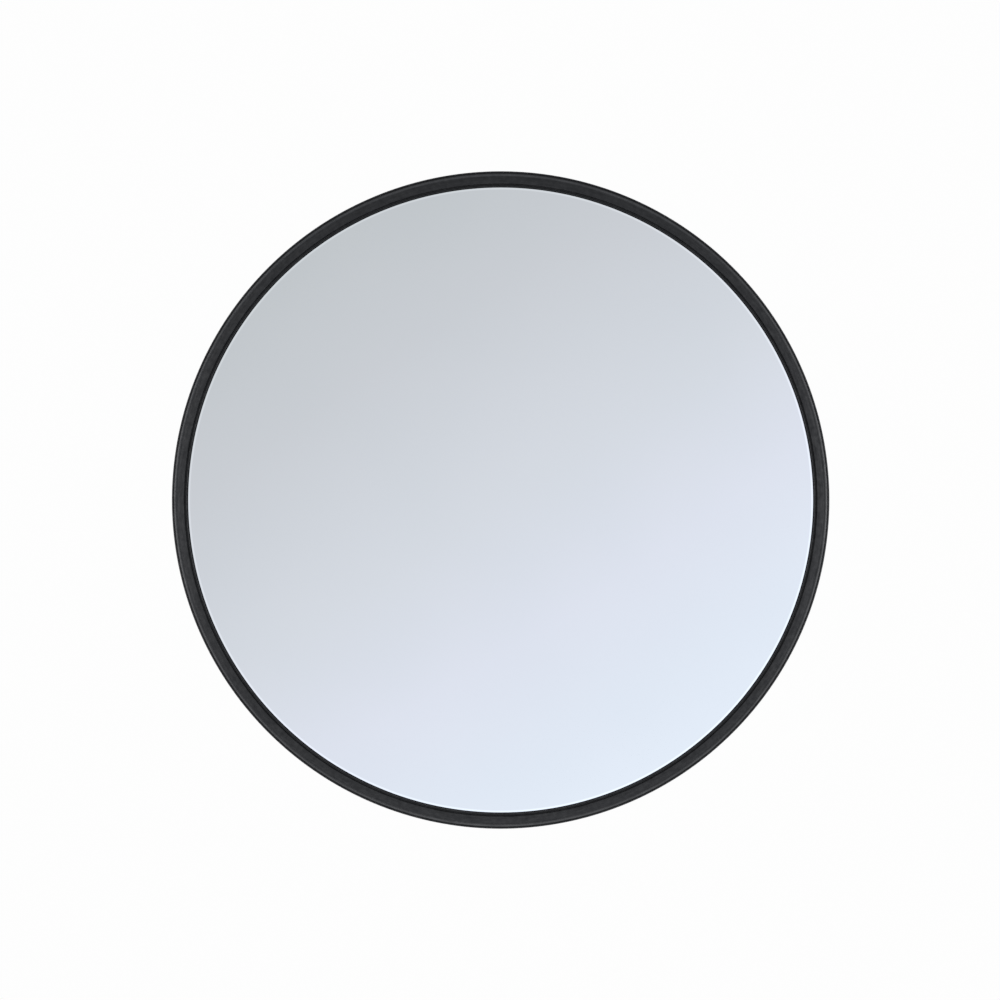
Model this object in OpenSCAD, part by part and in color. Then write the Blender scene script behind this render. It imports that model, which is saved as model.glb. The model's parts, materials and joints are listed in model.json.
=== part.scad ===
// Round convex security mirror on a two-way wall bracket.
//
// Row frame: origin at the centre of the wall plate's back face, +Y into the wall, +Z up,
// so the mirror faces -Y. Every module below is drawn in the wall's own frame, with x to
// the right, y up and z out from the wall, and row_frame() turns the whole into place.

/* [Mirror] */
// Outside diameter, over the edge trim
mirror_d = 450; // [400:10:600]
// Thickness of the mirrored acrylic lens
lens_t = 3; // [2:0.5:4]
// Height of the dome above the lens's flat flange
dome_rise = 50; // [35:1:60]

/* [Edge trim] */
// Width of the trim's front face, from its outer edge to its inner lip
trim_face = 10.8; // [9:0.1:14]
// Thickness of the trim's outer wall
trim_wall = 2.5; // [2:0.1:3]
// Thickness of the trim's two legs
trim_leg_t = 2.2; // [1.8:0.1:2.6]

/* [Back shell] */
// Wall thickness of the moulded back shell
shell_t = 2.5; // [2:0.1:3]
// Depth from the shell's flange to its central boss
shell_depth = 18; // [16:1:24]
// Number of radial stiffening ribs
rib_count = 12; // [8:2:16]
// Height of the ribs above the shell's floor
rib_h = 2.6; // [2:0.1:3]

/* [Arm] */
// Distance from the pan axis to the tilt axis
arm_length = 150; // [150:5:220]
// Outside diameter of the arm tube
tube_d = 22; // [20:0.5:22]
// Wall thickness of the arm tube
tube_wall = 1.5; // [1.2:0.1:1.5]

/* [Bracket] */
// Side of the square wall plate
wall_plate_size = 90; // [86:1:100]
// Spacing of the wall plate's four screw holes, both ways
wall_hole_spacing = 66; // [62:1:68]
// Diameter of the wall plate's screw holes
wall_hole_d = 6.5; // [5:0.5:7]
// Side of the square plate behind the mirror
mirror_plate_size = 80; // [76:1:82]
// Spacing of the four screws in the mirror plate, both ways
mirror_hole_spacing = 56; // [54:1:58]
// Thickness of the steel plates and yokes
steel_t = 3; // [2.5:0.5:3]

/* [Knobs] */
// Diameter of the star knobs
knob_d = 38; // [34:1:42]
// Number of lobes on a star knob
knob_lobes = 6; // [5:1:8]

/* [Hidden] */

$fn = 96;
lathe_fn = 240;
slack = 1; // how far a cutting shape runs past what it cuts

// Fits, as radial clearances
running_fit = 0.08;
loose_fit = 0.2;

// Yokes: a U of bent steel, the pivot axis along x and the base towards +z
knuckle_w = 24;
friction_washer_t = 2;
yoke_gap = knuckle_w + 2 * friction_washer_t;
yoke_w = yoke_gap + 2 * steel_t;
yoke_reach = 28; // from the pivot axis to the base's outer face
yoke_base_h = 36;
ear_r = 15;
bend_r = 2; // inside radius of the bends

// Knuckles: an eye for the pivot, a neck as wide as the tube, and a spigot inside the tube
eye_r = 13;
neck_end = 20;
spigot_l = 22;
pin_at = neck_end + spigot_l / 2;
pin_d = 5;
pin_wall = 1;

// Pivot bolts, M8 x 50: dome head and square neck at -x, thread end at +x
bolt_d = 8;
bolt_l = 50;
head_r = 10;
head_h = 4.5;
neck_side = bolt_d;
washer_r = 10;
washer_t = 1.6;
spring_washer_r = 9;
spring_washer_t = 1.4;
ear_outer = yoke_w / 2;
knob_seat = ear_outer + washer_t + spring_washer_t;
knob_hub_r = 11;
knob_hub_h = 4;
knob_h = 20;
insert_r = 7;
insert_h = 14;
knob_hole_depth = 16;
knob_edge_r = 2;
knob_dish_depth = 1.2;

// Distances out from the wall
pan_axis = steel_t + yoke_reach;
tilt_axis = pan_axis + arm_length;
mirror_plate_at = tilt_axis + yoke_reach;
gasket_t = 1.5;
gasket_at = mirror_plate_at + steel_t;
boss_at = gasket_at + gasket_t;
backing_t = 2;
backing_at = boss_at + shell_t;
flange_at = boss_at + shell_depth; // back face of the shell's flange
seal_t = 1.5;
seal_at = flange_at + shell_t;
lens_at = seal_at + seal_t; // back face of the lens's flange
lens_front = lens_at + lens_t;

// Radii of the mirror head
mirror_r = mirror_d / 2;
lip_r = mirror_r - trim_face;
slot_r = mirror_r - trim_wall;
flange_r = slot_r - 0.3;
dome_r = lip_r - 1.7;
dome_curve_r = (dome_r * dome_r + dome_rise * dome_rise) / (2 * dome_rise);
boss_r = 60;
boss_step = 4;
wall_foot_r = flange_r - 32;
wall_top_r = flange_r - 19;
floor_fall = 3; // the floor's slope between the boss and the outer wall
weep_hole_d = 5;
weep_hole_angle = 12;
backing_r = 52;
plate_corner_r = 10;

// M6 fasteners between the bracket and the backing plate
screw_d = 6;
screw_l = 16;
screw_hole_d = 6.6;
screw_af = 10;
screw_head_h = 4;
nut_h = 5;
mount_washer_r = 6;
mount_washer_t = 1.2;

module row_frame() rotate([90, 0, 0]) children();

// Puts children drawn along +z onto the x axis, pointing to +x
module along_x() rotate([0, 90, 0]) children();

// Four copies at the corners of a square of the given side
module at_corners(side)
    for (sx = [-1, 1], sy = [-1, 1])
        translate([sx * side / 2, sy * side / 2, 0]) children();

module ring(outer_r, inner_r, h)
    difference() {
        cylinder(r = outer_r, h = h);
        translate([0, 0, -slack]) cylinder(r = inner_r, h = h + 2 * slack);
    }

module rounded_square(side, r) {
    square([side, side - 2 * r], center = true);
    square([side - 2 * r, side], center = true);
    at_corners(side - 2 * r) circle(r);
}

module drilled_plate(side, t, corner_r, spacing, hole_d)
    linear_extrude(t)
        difference() {
            rounded_square(side, corner_r);
            at_corners(spacing) circle(d = hole_d);
        }

module hex_prism(across_flats, h) cylinder(d = across_flats / cos(30), h = h, $fn = 6);

// ---- Yoke: U of bent steel, pivot axis along x through the origin, base towards +z ----

module yoke_section() {
    outer_bend = bend_r + steel_t;
    difference() {
        union() {
            translate([-yoke_w / 2, -ear_r]) square([yoke_w, yoke_reach + ear_r - outer_bend]);
            translate([-yoke_w / 2 + outer_bend, 0])
                square([yoke_w - 2 * outer_bend, yoke_reach]);
            for (side = [-1, 1])
                translate([side * (yoke_w / 2 - outer_bend), yoke_reach - outer_bend])
                    circle(outer_bend);
        }
        translate([-yoke_gap / 2, -ear_r - slack])
            square([yoke_gap, yoke_reach - steel_t - bend_r + ear_r + slack]);
        translate([-yoke_gap / 2 + bend_r, 0])
            square([yoke_gap - 2 * bend_r, yoke_reach - steel_t]);
        for (side = [-1, 1])
            translate([side * (yoke_gap / 2 - bend_r), yoke_reach - steel_t - bend_r])
                circle(bend_r);
    }
}

module ear_outline() {
    circle(ear_r);
    polygon([
        [-ear_r, 0], [ear_r, 0], [ear_r, 4],
        [yoke_base_h / 2, yoke_reach - 8], [yoke_base_h / 2, yoke_reach],
        [-yoke_base_h / 2, yoke_reach], [-yoke_base_h / 2, yoke_reach - 8], [-ear_r, 4]
    ]);
}

module yoke()
    difference() {
        intersection() {
            translate([0, yoke_base_h / 2, 0])
                rotate([90, 0, 0]) linear_extrude(yoke_base_h) yoke_section();
            translate([-yoke_w / 2, 0, 0])
                rotate([90, 0, 90]) linear_extrude(yoke_w) ear_outline();
        }
        along_x() cylinder(r = bolt_d / 2 + loose_fit, h = yoke_w);
        translate([-yoke_w / 2 - slack, -neck_side / 2 - loose_fit, -neck_side / 2 - loose_fit])
            cube([steel_t + 2 * slack, neck_side + 2 * loose_fit, neck_side + 2 * loose_fit]);
    }

// ---- Pivot hardware, all about the x axis ----

// Dome head and square neck in the -x ear, thread end inside the knob at +x
module carriage_bolt() {
    head_curve_r = (head_r * head_r + head_h * head_h) / (2 * head_h);
    translate([-ear_outer, 0, 0]) along_x() {
        rotate([180, 0, 0])
            intersection() {
                translate([0, 0, head_h - head_curve_r]) sphere(head_curve_r);
                cylinder(r = head_r, h = head_h + slack);
            }
        translate([-neck_side / 2, -neck_side / 2, 0]) cube([neck_side, neck_side, steel_t]);
        cylinder(d = bolt_d, h = bolt_l);
    }
}

module friction_washers()
    for (side = [-1, 1])
        translate([side > 0 ? knuckle_w / 2 : -yoke_gap / 2, 0, 0])
            along_x() ring(eye_r, bolt_d / 2 + loose_fit, friction_washer_t);

module flat_washer()
    translate([ear_outer, 0, 0]) along_x() ring(washer_r, bolt_d / 2 + loose_fit, washer_t);

// Split washer, closed up flat under the knob
module spring_washer()
    translate([ear_outer + washer_t, 0, 0]) along_x()
        difference() {
            ring(spring_washer_r, bolt_d / 2 + loose_fit, spring_washer_t);
            translate([0, -0.5, -slack]) cube([washer_r, 1, spring_washer_t + 2 * slack]);
        }

module knob_profile() {
    straight_r = knob_d / 2 - knob_edge_r;
    translate([0, knob_hub_h]) square([straight_r, knob_h - knob_hub_h]);
    translate([0, knob_hub_h + knob_edge_r])
        square([knob_d / 2, knob_h - knob_hub_h - 2 * knob_edge_r]);
    for (z = [knob_hub_h + knob_edge_r, knob_h - knob_edge_r])
        translate([straight_r, z]) circle(knob_edge_r);
}

// Hub against the washers, lobed grip with a shallow dish in its outer face
module star_knob() {
    scallop_r = knob_d / 7;
    translate([knob_seat, 0, 0]) along_x()
        difference() {
            union() {
                cylinder(r = knob_hub_r, h = knob_hub_h + slack);
                rotate_extrude($fn = lathe_fn)
                    difference() {
                        knob_profile();
                        translate([0, knob_h - knob_dish_depth]) square([knob_d / 4, 2 * slack]);
                    }
            }
            for (i = [0 : knob_lobes - 1])
                rotate(360 / knob_lobes * (i + 0.5))
                    translate([knob_d / 2 + scallop_r / 3, 0, knob_hub_h - slack])
                        cylinder(r = scallop_r, h = knob_h);
            translate([0, 0, -slack]) cylinder(r = insert_r, h = insert_h + slack);
            cylinder(r = bolt_d / 2 + 2 * loose_fit, h = knob_hole_depth);
        }
}

module knob_insert()
    translate([knob_seat, 0, 0]) along_x() ring(insert_r, bolt_d / 2 + running_fit, insert_h);

// ---- Arm: two knuckles pinned into a tube, drawn from the pan axis along +z ----

// Eye about the x axis, neck and spigot towards +z
module knuckle() {
    spigot_r = tube_d / 2 - tube_wall - running_fit;
    difference() {
        union() {
            translate([-knuckle_w / 2, 0, 0]) along_x() cylinder(r = eye_r, h = knuckle_w);
            cylinder(d = tube_d, h = neck_end);
            cylinder(r = spigot_r, h = neck_end + spigot_l);
        }
        translate([-knuckle_w, 0, 0])
            along_x() cylinder(r = bolt_d / 2 + running_fit, h = 2 * knuckle_w);
        translate([-tube_d, 0, pin_at]) along_x() cylinder(d = pin_d, h = 2 * tube_d);
    }
}

// Slotted spring pin across the tube, its ends flush with the tube's surface
module spring_pin()
    intersection() {
        translate([-tube_d / 2, 0, 0]) along_x()
            difference() {
                ring(pin_d / 2, pin_d / 2 - pin_wall, tube_d);
                translate([0, -0.4, -slack]) cube([pin_d, 0.8, tube_d + 2 * slack]);
            }
        translate([0, 0, -pin_d]) cylinder(d = tube_d, h = 2 * pin_d);
    }

module front_end() translate([0, 0, arm_length]) rotate([180, 0, 0]) children();
module rear_end() rotate([0, 0, 90]) children();

// ---- Placement of the two pivots ----

// The wall yoke opens away from the wall and its axis is vertical, bolt head upwards
module at_pan_pivot() translate([0, 0, pan_axis]) rotate([180, 0, -90]) children();
module at_tilt_pivot() translate([0, 0, tilt_axis]) children();
module at_arm() translate([0, 0, pan_axis]) children();

// ---- Mirror head, turned about the z axis ----

// Outline of the shell's back, from the centre out to the rim of its flange
shell_back = [
    [0, boss_at], [boss_r, boss_at],
    [boss_r + 5, boss_at + boss_step],
    [wall_foot_r, boss_at + boss_step + floor_fall],
    [wall_top_r, flange_at], [flange_r, flange_at]
];
shell_front = [
    [flange_r, seal_at], [wall_top_r - 1, seal_at],
    [wall_foot_r - 1, boss_at + boss_step + floor_fall + shell_t],
    [boss_r + 4, boss_at + boss_step + shell_t],
    [boss_r - 1, boss_at + shell_t], [0, boss_at + shell_t]
];

// Bars of constant height on the shell's sloping floor, cut to shape by their own bands
module rib_band() {
    inner_r = boss_r + 2;
    outer_r = wall_foot_r + 4;
    polygon([
        [inner_r, boss_at + boss_step - rib_h],
        [wall_foot_r - 3, boss_at + boss_step + floor_fall - rib_h],
        [outer_r, boss_at + boss_step + floor_fall + shell_t],
        [inner_r, boss_at + boss_step + 1]
    ]);
}

module shell_ribs() {
    rib_w = 5;
    intersection() {
        rotate_extrude($fn = lathe_fn) rib_band();
        for (i = [0 : rib_count - 1])
            rotate(360 / rib_count * (i + 0.5))
                translate([boss_r - slack, -rib_w / 2, boss_at - slack])
                    cube([wall_foot_r, rib_w, shell_depth]);
    }
}

// Round stiffening bead on the floor, as high as half a rib
module shell_bead(r) {
    bead_w = 5;
    floor_z = boss_at + boss_step
        + floor_fall * (r - boss_r - 5) / (wall_foot_r - boss_r - 5);
    rotate_extrude($fn = lathe_fn)
        translate([r, floor_z - rib_h / 2]) square([bead_w, rib_h / 2 + shell_t / 2]);
}

module back_shell_body()
    difference() {
        union() {
            rotate_extrude($fn = lathe_fn) polygon(concat(shell_back, shell_front));
            shell_ribs();
            for (step = [1, 2])
                shell_bead(boss_r + step * (wall_foot_r - boss_r) / 3);
        }
        translate([0, 0, boss_at - slack])
            at_corners(mirror_hole_spacing) cylinder(d = screw_hole_d, h = shell_t + 2 * slack);
        for (side = [-1, 1])
            rotate(-90 + side * weep_hole_angle / 2)
                translate([wall_foot_r - 6, 0, boss_at]) cylinder(d = weep_hole_d, h = shell_depth);
    }

module lens_body() {
    centre_z = lens_front + dome_rise - dome_curve_r;
    rotate_extrude($fn = lathe_fn) {
        intersection() {
            translate([0, centre_z])
                difference() {
                    circle(dome_curve_r, $fn = lathe_fn);
                    circle(dome_curve_r - lens_t, $fn = lathe_fn);
                }
            translate([0, lens_at]) square([dome_r, dome_rise + 2 * lens_t]);
        }
        translate([dome_r, lens_at]) square([flange_r - dome_r, lens_t]);
    }
}

// One leg of the trim with a full round lip, its inner face at z = 0 and growing to -z
module trim_leg()
    translate([0, -trim_leg_t]) {
        translate([lip_r + trim_leg_t / 2, 0])
            square([trim_face - trim_leg_t / 2 - trim_wall / 2, trim_leg_t]);
        translate([lip_r + trim_leg_t / 2, trim_leg_t / 2]) circle(d = trim_leg_t);
    }

module trim_section() {
    corner_r = 2;
    back = flange_at - trim_leg_t;
    front = lens_front + trim_leg_t;
    translate([0, flange_at]) trim_leg();
    translate([0, lens_front]) mirror([0, 1]) trim_leg();
    difference() {
        union() {
            translate([slot_r, back + corner_r])
                square([trim_wall, front - back - 2 * corner_r]);
            for (z = [back + corner_r, front - corner_r])
                translate([mirror_r - corner_r, z]) circle(corner_r);
        }
        translate([slot_r - 2 * corner_r, flange_at])
            square([2 * corner_r, lens_front - flange_at]);
    }
}

// ---- Nodes ----

module wall_plate()
    color("dimgray")
        drilled_plate(wall_plate_size, steel_t, plate_corner_r, wall_hole_spacing, wall_hole_d);

module wall_yoke() color("dimgray") at_pan_pivot() yoke();
module pan_bolt() color("silver") at_pan_pivot() carriage_bolt();
module pan_friction_washers() color("ivory") at_pan_pivot() friction_washers();
module pan_washer() color("silver") at_pan_pivot() flat_washer();
module pan_spring_washer() color("silver") at_pan_pivot() spring_washer();
module pan_knob() color("black") at_pan_pivot() star_knob();
module pan_knob_insert() color("goldenrod") at_pan_pivot() knob_insert();

module rear_knuckle() color("darkslategray") at_arm() rear_end() knuckle();
module front_knuckle() color("darkslategray") at_arm() front_end() knuckle();

module arm_tube()
    color("dimgray") at_arm()
        difference() {
            translate([0, 0, neck_end])
                ring(tube_d / 2, tube_d / 2 - tube_wall, arm_length - 2 * neck_end);
            translate([0, -tube_d, pin_at])
                rotate([-90, 0, 0]) cylinder(d = pin_d, h = 2 * tube_d);
            translate([-tube_d, 0, arm_length - pin_at])
                along_x() cylinder(d = pin_d, h = 2 * tube_d);
        }

module arm_pins()
    color("silver") at_arm() {
        rear_end() translate([0, 0, pin_at]) spring_pin();
        front_end() translate([0, 0, pin_at]) spring_pin();
    }

module tilt_yoke() color("dimgray") at_tilt_pivot() yoke();
module tilt_bolt() color("silver") at_tilt_pivot() carriage_bolt();
module tilt_friction_washers() color("ivory") at_tilt_pivot() friction_washers();
module tilt_washer() color("silver") at_tilt_pivot() flat_washer();
module tilt_spring_washer() color("silver") at_tilt_pivot() spring_washer();
module tilt_knob() color("black") at_tilt_pivot() star_knob();
module tilt_knob_insert() color("goldenrod") at_tilt_pivot() knob_insert();

module mirror_plate()
    color("dimgray") translate([0, 0, mirror_plate_at])
        drilled_plate(mirror_plate_size, steel_t, plate_corner_r, mirror_hole_spacing, screw_hole_d);

module hub_gasket()
    color("black") translate([0, 0, gasket_at])
        drilled_plate(mirror_plate_size + 4, gasket_t, plate_corner_r + 2,
                      mirror_hole_spacing, screw_hole_d);

module mount_washers()
    color("silver") translate([0, 0, mirror_plate_at - mount_washer_t])
        at_corners(mirror_hole_spacing) ring(mount_washer_r, screw_hole_d / 2, mount_washer_t);

// Hex heads outside the bracket, thread ends inside the mirror head
module mount_screws()
    color("silver") translate([0, 0, mirror_plate_at - mount_washer_t])
        at_corners(mirror_hole_spacing) {
            translate([0, 0, -screw_head_h]) hex_prism(screw_af, screw_head_h);
            cylinder(d = screw_d, h = screw_l);
        }

module backing_plate()
    color("silver") translate([0, 0, backing_at])
        difference() {
            cylinder(r = backing_r, h = backing_t);
            translate([0, 0, -slack])
                at_corners(mirror_hole_spacing) cylinder(d = screw_hole_d, h = backing_t + 2 * slack);
        }

module mount_nuts()
    color("silver") translate([0, 0, backing_at + backing_t])
        at_corners(mirror_hole_spacing)
            difference() {
                hex_prism(screw_af, nut_h);
                translate([0, 0, -slack])
                    cylinder(d = screw_d + 2 * running_fit, h = nut_h + 2 * slack);
            }

module back_shell() color("black") back_shell_body();

module lens_seal()
    color("gray") translate([0, 0, seal_at]) ring(flange_r - 1, wall_top_r + 10, seal_t);

module mirror_lens() color("lightsteelblue") lens_body();
module edge_trim() color("black") rotate_extrude($fn = lathe_fn) trim_section();

row_frame() {
    wall_plate();
    wall_yoke();
    pan_bolt();
    pan_friction_washers();
    pan_washer();
    pan_spring_washer();
    pan_knob();
    pan_knob_insert();
    rear_knuckle();
    arm_tube();
    front_knuckle();
    arm_pins();
    tilt_yoke();
    tilt_bolt();
    tilt_friction_washers();
    tilt_washer();
    tilt_spring_washer();
    tilt_knob();
    tilt_knob_insert();
    mirror_plate();
    hub_gasket();
    mount_screws();
    mount_washers();
    backing_plate();
    mount_nuts();
    back_shell();
    lens_seal();
    mirror_lens();
    edge_trim();
}
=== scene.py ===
"""The looks of a round convex mirror on a two-way wall bracket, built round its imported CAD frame.

Shapes are drawn in millimetres in the wall's own frame, with x to the right, y up and z out from
the wall, and ROW turns them into the frame's metres, with +Y into the wall and +Z up.
"""

import json
import math

import bmesh
import bpy
from mathutils import Matrix, Vector


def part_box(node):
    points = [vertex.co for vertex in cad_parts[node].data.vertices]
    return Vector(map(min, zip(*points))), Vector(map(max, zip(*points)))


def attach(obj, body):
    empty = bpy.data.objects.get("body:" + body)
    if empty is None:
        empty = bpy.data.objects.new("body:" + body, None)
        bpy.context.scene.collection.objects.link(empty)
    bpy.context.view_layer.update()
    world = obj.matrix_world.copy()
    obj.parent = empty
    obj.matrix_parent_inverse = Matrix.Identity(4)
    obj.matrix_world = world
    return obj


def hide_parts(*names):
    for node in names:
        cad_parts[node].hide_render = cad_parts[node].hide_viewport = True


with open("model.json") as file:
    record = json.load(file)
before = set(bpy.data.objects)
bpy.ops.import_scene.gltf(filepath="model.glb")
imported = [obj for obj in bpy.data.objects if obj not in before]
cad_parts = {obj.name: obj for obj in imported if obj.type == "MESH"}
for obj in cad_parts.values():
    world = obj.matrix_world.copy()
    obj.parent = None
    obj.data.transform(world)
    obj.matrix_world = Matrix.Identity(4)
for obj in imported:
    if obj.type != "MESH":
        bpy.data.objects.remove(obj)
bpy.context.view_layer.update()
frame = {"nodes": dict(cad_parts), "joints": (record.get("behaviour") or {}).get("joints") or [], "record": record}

MM = 0.001
TINY = 1e-6  # a radius below this is on the axis
WELD_DISTANCE = 0.001  # points closer than this many mm become one
FLAT_ANGLE = 0.5  # faces within this many degrees of each other become one before easing
ROW = Matrix.Scale(MM, 4) @ Matrix.Rotation(math.radians(90), 4, "X")

BODIES = frame["record"]["behaviour"]["bodies"]
BODY_OF = {node: body for body, nodes in BODIES.items() for node in nodes}


# ---- Sizes, in mm, read from the frame ----


def pivot_distance(joint_name):
    """How far a joint's axis is from the wall."""
    joint = next(j for j in frame["joints"] if j["name"] == joint_name)
    return -joint["pos_m"][1] / MM


def reach(node):
    """The node's nearest and farthest distances from the wall."""
    low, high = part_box(node)
    return -high.y / MM, -low.y / MM


def width(node):
    low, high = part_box(node)
    return (high.x - low.x) / MM


PAN_AXIS = pivot_distance("arm_pan")
TILT_AXIS = pivot_distance("head_tilt")
ARM_LENGTH = TILT_AXIS - PAN_AXIS
STEEL_T = reach("wall_plate")[1]
TUBE_R = width("arm_tube") / 2
TRIM_BACK, TRIM_FRONT = reach("edge_trim")
MIRROR_R = width("edge_trim") / 2
LENS_BACK, DOME_TOP = reach("mirror_lens")
BOSS_AT, SEAL_AT = reach("back_shell")
FLANGE_R = width("mirror_lens") / 2

# ---- Sizes, in mm, that the looks share: _T is thickness, _R radius, _W width, _H height ----

LENS_T = 3.0
SHELL_T = 2.5
BEAD_AT = MIRROR_R - 2.45
FLANGE_AT = SEAL_AT - SHELL_T
YOKE_GAP = 28.0
YOKE_W = YOKE_GAP + 2 * STEEL_T
EAR_OUTER = YOKE_W / 2
YOKE_REACH = PAN_AXIS - STEEL_T
YOKE_BASE_H = 36.0
EAR_R = 15.0
BOLT_R = 4.0
BOLT_HOLE_R = BOLT_R + 0.2
BORE_R = BOLT_R + 0.08
SLIDE_GAP = 0.05
KNUCKLE_W = 24.0
EYE_R = 13.0
NECK_R = TUBE_R - 0.05
NECK_END = 20.0
SPIGOT_R = 9.42
SPIGOT_END = NECK_END + 22
TUBE_T = 1.5
PIN_AT = 31.0
PIN_R = 2.5
WASHER_T = 1.6
SPRING_WASHER_T = 1.4
KNOB_SEAT = EAR_OUTER + WASHER_T + SPRING_WASHER_T
KNOB_H = 20.0
RIB_COUNT = 12
WALL_HOLE_R = 3.25
WALL_HOLE_SPACING = 66.0
SCREW_HOLE_R = 3.3
MIRROR_HOLE_SPACING = 56.0
HOLE_SIDES = 48


# ---- Placement ----


def turned(degrees, axis):
    return Matrix.Rotation(math.radians(degrees), 4, axis)


def moved(x=0.0, y=0.0, z=0.0):
    return Matrix.Translation((x, y, z))


def out(distance):
    """The wall's frame, moved straight out from the wall."""
    return ROW @ moved(z=distance)


ALONG_X = turned(90, "Y")
AT_PAN = out(PAN_AXIS) @ turned(-90, "Z") @ turned(180, "X")
AT_TILT = out(TILT_AXIS)
REAR_END = out(PAN_AXIS) @ turned(90, "Z")
FRONT_END = out(TILT_AXIS) @ turned(180, "X")


# ---- Outlines ----


def rounded(corners, closed=True, step=12.0):
    """The points of an outline, with an arc at each corner (x, y, radius) and none at (x, y)."""
    points = []
    last = len(corners) - 1
    half_a_side = 0.499
    for i, corner in enumerate(corners):
        here = Vector(corner[:2])
        radius = corner[2] if len(corner) > 2 else 0.0
        if radius == 0.0 or (not closed and i in (0, last)):
            points.append(here)
            continue
        before = Vector(corners[i - 1][:2]) - here
        after = Vector(corners[(i + 1) % len(corners)][:2]) - here
        half = before.angle(after) / 2
        room = half_a_side * min(before.length, after.length)
        run = min(radius / math.tan(half), room)
        radius = run * math.tan(half)
        centre = here + (before.normalized() + after.normalized()).normalized() * (
            radius / math.sin(half)
        )
        spoke = here + before.normalized() * run - centre
        turn = math.pi - 2 * half
        side = 1.0 if before.cross(after) < 0 else -1.0
        count = max(2, math.ceil(math.degrees(turn) / step))
        for k in range(count + 1):
            points.append(centre + Matrix.Rotation(side * turn * k / count, 2) @ spoke)
    return points


def stepped(points, longest):
    """An open outline with points added so that no step is longer than the given length."""
    result = [points[0]]
    for near, far in zip(points, points[1:]):
        count = max(1, math.ceil((far - near).length / longest))
        result += [near.lerp(far, k / count) for k in range(1, count + 1)]
    return result


def square(side):
    half = side / 2
    return [(-half, -half), (half, -half), (half, half), (-half, half)]


def corners_of(spacing):
    return [(x * spacing / 2, y * spacing / 2) for x in (-1, 1) for y in (-1, 1)]


def smooth(value, low, high):
    """0 below low, 1 above high, and an S between them."""
    t = min(1.0, max(0.0, (value - low) / (high - low)))
    return t * t * (3 - 2 * t)


# ---- Solids, as bmeshes in mm ----


def even_angles(count):
    return [2 * math.pi * i / count for i in range(count)]


def lathe(outline, segments=96, angles=None, shape=None):
    """The closed solid that an outline of (radius, height) points makes when turned about z.

    The outline starts and ends on the axis, or is a ring's closed section. angles(radius) gives
    each ring's own directions, and shape(radius, angle, height) moves a point: it returns the
    new radius and height.
    """
    mesh = bmesh.new()
    rings = []
    for radius, height in outline:
        if radius < TINY:
            rings.append([mesh.verts.new((0, 0, height))])
            continue
        ring = []
        for angle in angles(radius) if angles else even_angles(segments):
            r, h = shape(radius, angle, height) if shape else (radius, height)
            ring.append(mesh.verts.new((r * math.cos(angle), r * math.sin(angle), h)))
        rings.append(ring)
    pairs = list(zip(rings, rings[1:]))
    if len(rings[0]) > 1:
        pairs.append((rings[-1], rings[0]))
    count = max(len(ring) for ring in rings)
    for near, far in pairs:
        for i in range(count):
            j = (i + 1) % count
            corners = [near[i % len(near)], near[j % len(near)]]
            corners += [far[j % len(far)], far[i % len(far)]]
            mesh.faces.new(dict.fromkeys(corners))
    bmesh.ops.recalc_face_normals(mesh, faces=mesh.faces)
    return mesh


def circle(radius, segments, centre=(0.0, 0.0)):
    return [
        Vector((centre[0] + radius * math.cos(a), centre[1] + radius * math.sin(a)))
        for a in even_angles(segments)
    ]


def prism(outline, height, holes=()):
    """An outline pushed up from z = 0, with holes that are outlines too."""
    mesh = bmesh.new()
    edges = []
    for loop in (outline, *holes):
        verts = [mesh.verts.new((p[0], p[1], 0)) for p in loop]
        edges += [mesh.edges.new((verts[i - 1], verts[i])) for i in range(len(verts))]
    bmesh.ops.triangle_fill(mesh, use_beauty=True, edges=edges)
    top = bmesh.ops.extrude_face_region(mesh, geom=list(mesh.faces))["geom"]
    risen = [v for v in top if isinstance(v, bmesh.types.BMVert)]
    bmesh.ops.translate(mesh, verts=risen, vec=(0, 0, height))
    bmesh.ops.recalc_face_normals(mesh, faces=mesh.faces)
    return mesh


def placed(mesh, matrix):
    mesh.transform(matrix)
    return mesh


def joined(meshes):
    """Several separate solids as one mesh."""
    result = bmesh.new()
    for mesh in meshes:
        data = bpy.data.meshes.new("part")
        mesh.to_mesh(data)
        mesh.free()
        result.from_mesh(data)
        bpy.data.meshes.remove(data)
    return result


def as_object(name, mesh):
    data = bpy.data.meshes.new(name)
    mesh.to_mesh(data)
    mesh.free()
    obj = bpy.data.objects.new(name, data)
    bpy.context.scene.collection.objects.link(obj)
    return obj


def discard(obj):
    data = obj.data
    bpy.data.objects.remove(obj)
    bpy.data.meshes.remove(data)


def modified(obj):
    """The object's mesh with its modifiers applied, as a bmesh. The object is removed."""
    result = bmesh.new()
    result.from_object(obj, bpy.context.evaluated_depsgraph_get())
    discard(obj)
    return result


def combined(base, tool, operation, solver="EXACT"):
    """Two solids united, or one cut by or kept inside the other."""
    base_obj = as_object("base", base)
    tool_obj = as_object("tool", tool)
    boolean = base_obj.modifiers.new("combine", "BOOLEAN")
    boolean.operation = operation
    boolean.object = tool_obj
    boolean.solver = solver
    result = modified(base_obj)
    bmesh.ops.remove_doubles(result, verts=result.verts, dist=WELD_DISTANCE)
    bmesh.ops.dissolve_degenerate(result, edges=result.edges, dist=WELD_DISTANCE)
    discard(tool_obj)
    return result


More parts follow.
